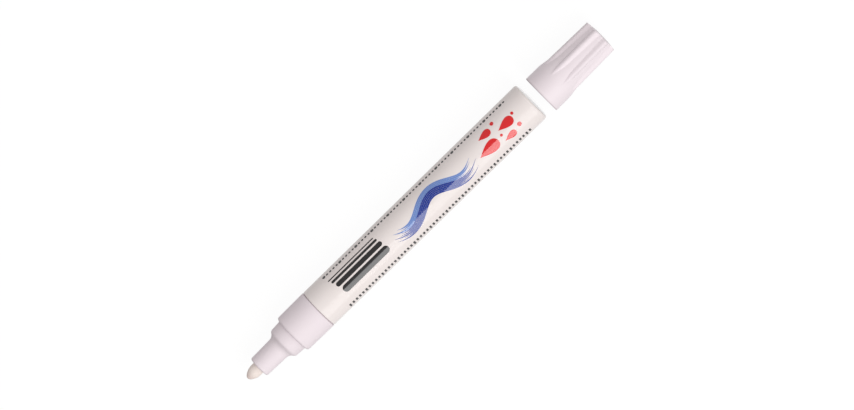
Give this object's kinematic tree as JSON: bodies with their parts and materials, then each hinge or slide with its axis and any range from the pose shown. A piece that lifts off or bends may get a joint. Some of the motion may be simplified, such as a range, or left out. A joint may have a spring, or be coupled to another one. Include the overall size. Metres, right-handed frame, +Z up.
{
  "type": "paint marker",
  "caption": "Valve-action paint marker with a white metal barrel, stepped plastic nozzle and spring-loaded bullet nib, lying in line with its fluted cap.",
  "frame": {"origin": "on the table under the pen's axis, half way along the laid-out pen and cap", "axes": "+X along the pen from the nib to the tail and on to the cap, +Z up from the table"},
  "size_m": [0.1655, 0.0156, 0.015],
  "materials": {
    "barrel_lacquer": "gloss white lacquer on a drawn aluminium can",
    "white_moulding": "semi-gloss white moulding",
    "valve_moulding": "natural moulding",
    "liner_moulding": "soft natural moulding",
    "nib_fibre": "bonded fibre",
    "seal_rubber": "matte black rubber",
    "spring_steel": "drawn wire",
    "ball_steel": "polished"
  },
  "bodies": {
    "barrel": {"barrel_can": "barrel_lacquer", "front_collar": "white_moulding", "barrel_seal": "seal_rubber", "valve_housing": "valve_moulding", "spring_cup": "valve_moulding", "valve_spring": "spring_steel"},
    "nib_and_stem": {"nib": "nib_fibre", "valve_stem": "valve_moulding", "valve_seal": "seal_rubber"},
    "mixing_ball": {"mixing_ball": "ball_steel"},
    "cap": {"cap_shell": "white_moulding", "cap_liner": "liner_moulding"}
  },
  "joints": [
    {"name": "nib_press", "type": "slide", "parent": "barrel", "child": "nib_and_stem", "axis": [1, 0, 0], "range_m": [0, 0.002], "stiffness_N_per_m": 800, "deforming": ["valve_spring"]},
    {"name": "ball_roll", "type": "slide", "parent": "barrel", "child": "mixing_ball", "axis": [1, 0, 0], "range_m": [-0.0374, 0.0374]},
    {"name": "cap_pull", "type": "slide", "parent": "barrel", "child": "cap", "axis": [1, 0, 0], "range_m": [0, 0.04]}
  ]
}
